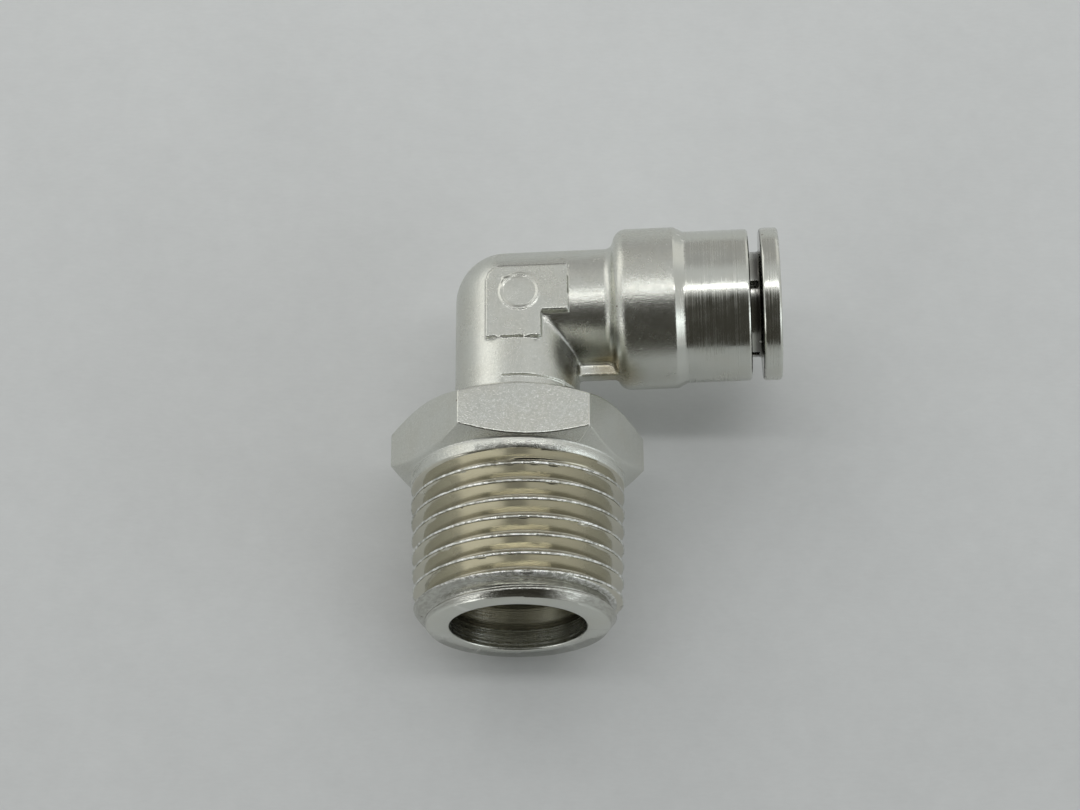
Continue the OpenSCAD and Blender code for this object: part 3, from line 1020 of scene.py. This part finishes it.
class FITTING_OT_stem(bpy.types.Operator):
    """Build the hexagonal stem and cut its taper thread"""

    bl_idname = "fitting.stem"
    bl_label = "Threaded stem"

    def execute(self, context):
        s = context.scene.fitting_stem
        plating = Plating(
            "turned_nickel", context.scene.fitting_colours, (0, 1, 0), (0, 0, 0),
            (-MM, s.neck_low + 0.7 * MM), rough=0.15,
        )
        plating.thread_marks(s)
        finish = plating.finished(fleck=0.65)
        # The first crest is set on the upper side, a quarter turn on from the first column
        phase = (1.25 - s.first_crest / s.pitch) % 1
        vertices, faces, carried = stem_blank(s, (phase - 1) % 1)
        stem = piece_from("threaded_stem_turned", vertices, faces, finish)
        for name, data in carried.items():
            attribute = stem.data.attributes.new(name, "FLOAT", "POINT")
            attribute.data.foreach_set("value", data.ravel())
        apply_tree(stem, thread_cutter(), {
            "Pitch": s.pitch, "Depth": s.depth, "Crest flat": s.crest_flat, "Phase": phase,
            "Gauge radius": s.thread_radius, "Gauge length": s.gauge_length,
            "End radius": s.end_radius, "End slope": 0.78, "Neck radius": s.neck_radius,
            "Neck height": s.neck_low, "Nick depth": s.nick, "Material": finish,
        })
        for name in carried:
            stem.data.attributes.remove(stem.data.attributes[name])
        tidy_mesh(stem)
        hand_over(stem, "stem", "turned_nickel", "threaded_stem")
        return {"FINISHED"}


# Seals and rings


def ring_sweeper():
    """Geometry Nodes tree that sweeps a rounded section round an axis, with an opening if wanted."""
    tree, given = open_tree(
        "sweep_ring", "Ring radius", "Section width", "Section height", "Corner", "Opening"
    )
    opening = given["Opening"]
    path = opening.node("GeometryNodeCurveArc", {"mode": "RADIUS"}, {
        "Resolution": 145, "Radius": given["Ring radius"], "Start Angle": opening * 0.5,
        "Sweep Angle": 2 * math.pi - opening,
    })
    oblong = opening.node(
        "GeometryNodeCurvePrimitiveQuadrilateral", {"mode": "RECTANGLE"},
        {"Width": given["Section width"], "Height": given["Section height"]},
    )
    section = oblong.node(
        "GeometryNodeFilletCurve", {"mode": "POLY"},
        {"Curve": oblong, "Radius": given["Corner"], "Count": 6, "Limit Radius": True},
    )
    close_tree(path.node(
        "GeometryNodeCurveToMesh", {}, {"Curve": path, "Profile Curve": section, "Fill Caps": True}
    ), given["Material"])
    return tree


def swept_ring(name, tree, material, about, inner, outer, low, high, corner, opening=0.0):
    """One ring between two radii and two heights about an axis, all in millimetres."""
    ring = piece_from(name, [(0, 0, 0)], [], material)
    apply_tree(ring, tree, {
        "Ring radius": (inner + outer) / 2 * MM, "Section width": (outer - inner) * MM,
        "Section height": (high - low) * MM, "Corner": corner * MM, "Opening": opening,
        "Material": material,
    })
    ring.data.transform(about @ Matrix.Translation((0, 0, (low + high) / 2 * MM)))
    tidy_mesh(ring)
    return ring


class FITTING_OT_seals(bpy.types.Operator):
    """Build the rubber seals of the tube socket and of the swivel"""

    bl_idname = "fitting.seals"
    bl_label = "Rubber seals"

    def execute(self, context):
        rubber = rubber_finish("nitrile_rubber", context.scene.fitting_colours)
        tree = ring_sweeper()
        tube = swept_ring("tube_seal_moulded", tree, rubber, ABOUT_ARM,
                          inner=3.91, outer=5.43, low=12.83, high=14.35, corner=0.76)
        hand_over(tube, "elbow", "black_rubber", "tube_seal")
        swivel = swept_ring("swivel_o_ring_moulded", tree, rubber, ABOUT_STEM,
                            inner=3.81, outer=5.12, low=15.55, high=16.85, corner=0.76)
        hand_over(swivel, "elbow", "black_rubber", "swivel_o_ring")
        return {"FINISHED"}


class FITTING_OT_rings(bpy.types.Operator):
    """Build the support ring, the swivel washer and the snap ring"""

    bl_idname = "fitting.rings"
    bl_label = "Metal rings"

    def execute(self, context):
        colours = context.scene.fitting_colours
        steel = steel_finish("stainless_ring", colours)
        nickel = Plating("turned_ring", colours, ARM_DIRECTION, ARM_ORIGIN, ALL_ALONG).finished()
        tree = ring_sweeper()
        support = swept_ring("seal_support_turned", tree, nickel, ABOUT_ARM,
                             inner=4.1, outer=5.42, low=14.5, high=15.6, corner=0.15)
        hand_over(support, "elbow", "turned_nickel", "seal_support_ring")
        washer = swept_ring("swivel_washer_pressed", tree, steel, ABOUT_STEM,
                            inner=5.16, outer=6.25, low=10.45, high=10.95, corner=0.1)
        hand_over(washer, "stem", "stainless", "swivel_washer")
        snap = swept_ring("swivel_snap_ring_formed", tree, steel, ABOUT_STEM, inner=4.52, outer=6.1,
                          low=9.6, high=10.4, corner=0.15, opening=math.radians(36))
        hand_over(snap, "elbow", "stainless", "swivel_snap_ring")
        return {"FINISHED"}


# Stage


def aimed(obj, place, target, roll=0.0):
    """Puts an object in the scene, with its back to the line from its target."""
    back = (Vector(place) - Vector(target)).normalized()
    turn = back.to_track_quat("Z", "Y").to_matrix().to_4x4()
    obj.matrix_world = Matrix.Translation(place) @ turn @ Matrix.Rotation(roll, 4, "Z")
    bpy.context.scene.collection.objects.link(obj)
    return obj


def soft_panel(name, direction, width, depth, power, tint=(1, 1, 1)):
    """A soft light a metre from the fitting, which the camera doesn't see."""
    lamp = bpy.data.lights.new(name, "AREA")
    lamp.shape = "RECTANGLE"
    lamp.size, lamp.size_y = width, depth
    lamp.energy = power
    lamp.color = tint
    panel = bpy.data.objects.new(name, lamp)
    panel.visible_camera = False
    middle = (CAD_BOX[0] + CAD_BOX[1]) / 2
    aimed(panel, middle + Vector(direction).normalized(), middle)


def room_tones(direction):
    """Grey walls: darker straight ahead, paler ahead to the right, almost black on the near side."""
    sideways, forwards = direction.part("X"), direction.part("Y")
    far = smooth_step(forwards, 0.44, 0.7)
    slant = sideways / forwards.at_least(0.05)
    left, right = smooth_step(slant, -0.42, -0.34), smooth_step(slant, 0.08, 0.2)
    middle = 1 - smooth_step(sideways.math("ABSOLUTE"), 0.42, 0.7)
    viewer = (1 - smooth_step(forwards, -0.2, -0.04)) * middle
    tone = blend_colours(far * left * (1 - right), (0.6, 0.61, 0.61, 1), (0.4, 0.4, 0.395, 1))
    tone = blend_colours(far * right, tone, (0.8, 0.8, 0.78, 1))
    return blend_colours(viewer, tone, (0.05, 0.048, 0.04, 1))


class FITTING_OT_stage(bpy.types.Operator):
    """Set out the pale table, the soft lights and the camera"""

    bl_idname = "fitting.stage"
    bl_label = "Stage"

    def execute(self, context):
        s = context.scene.fitting_stage
        half = 1.5
        table = piece_from(
            "table", [(-half, -half, 0), (half, -half, 0), (half, half, 0), (-half, half, 0)],
            [(0, 1, 2, 3)], table_finish(s),
        )
        table.data.transform(Matrix.Translation((0, 0, TABLE_HEIGHT)))
        soft_panel("ceiling_strip", (0, 0.06, 1), 1.4, 0.08, 1.6)
        soft_panel("left_window", (-0.69, 0.56, 0.44), 1.0, 0.62, 1.2, (1, 0.98, 0.93))
        soft_panel("right_window", (0.85, -0.4, 0.37), 0.5, 0.5, 1.0, (0.88, 0.96, 1))
        soft_panel("left_fill", (-0.74, -0.62, 0.26), 0.4, 0.35, 0.6)
        world = bpy.data.worlds.new("room")
        world.use_nodes = True
        room = next(n for n in world.node_tree.nodes if n.type == "BACKGROUND")
        direction = Wire(world.node_tree).node("ShaderNodeTexCoord", output="Generated")
        feed(room, {"Color": room_tones(direction), "Strength": 1.0})
        context.scene.world = world
        context.scene.view_settings.view_transform = "Standard"
        lens = bpy.data.cameras.new("camera")
        lens.lens = s.lens
        lens.sensor_width = 36.0
        lens.clip_start = 0.01
        away = Vector((
            math.sin(s.azimuth) * math.cos(s.elevation),
            -math.cos(s.azimuth) * math.cos(s.elevation),
            math.sin(s.elevation),
        ))
        target = Vector((2.273, 23.852, 0)) * MM
        camera = bpy.data.objects.new("camera", lens)
        context.scene.camera = aimed(camera, target + away * s.distance, target, s.roll)
        return {"FINISHED"}


class FITTING_PT_panel(bpy.types.Panel):
    bl_label = "Push-to-connect elbow"
    bl_idname = "FITTING_PT_panel"
    bl_space_type = "VIEW_3D"
    bl_region_type = "UI"
    bl_category = "Fitting"

    def draw(self, context):
        for group in PROPERTY_PLACES:
            box = self.layout.box()
            settings = getattr(context.scene, group)
            for name in settings.bl_rna.properties.keys():
                if name not in ("rna_type", "name"):
                    box.prop(settings, name)
        for operator in OPERATORS:
            self.layout.operator(operator.bl_idname)


PROPERTY_PLACES = {
    "fitting_stem": StemSizes,
    "fitting_elbow": ElbowSizes,
    "fitting_collet": ColletSizes,
    "fitting_colours": FinishColours,
    "fitting_stage": StageSettings,
}
OPERATORS = (
    FITTING_OT_stem, FITTING_OT_elbow, FITTING_OT_collet, FITTING_OT_seals, FITTING_OT_rings,
    FITTING_OT_stage,
)


def register():
    for group in (*PROPERTY_PLACES.values(), *OPERATORS, FITTING_PT_panel):
        bpy.utils.register_class(group)
    for place, group in PROPERTY_PLACES.items():
        setattr(bpy.types.Scene, place, bpy.props.PointerProperty(type=group))


def unregister():
    for place in PROPERTY_PLACES:
        delattr(bpy.types.Scene, place)
    for group in (FITTING_PT_panel, *reversed(OPERATORS), *reversed(PROPERTY_PLACES.values())):
        bpy.utils.unregister_class(group)


def main():
    register()
    bpy.ops.fitting.stem()
    bpy.ops.fitting.elbow()
    bpy.ops.fitting.collet()
    bpy.ops.fitting.seals()
    bpy.ops.fitting.rings()
    bpy.ops.fitting.stage()
    bpy.context.view_layer.update()


if __name__ == "__main__":
    main()
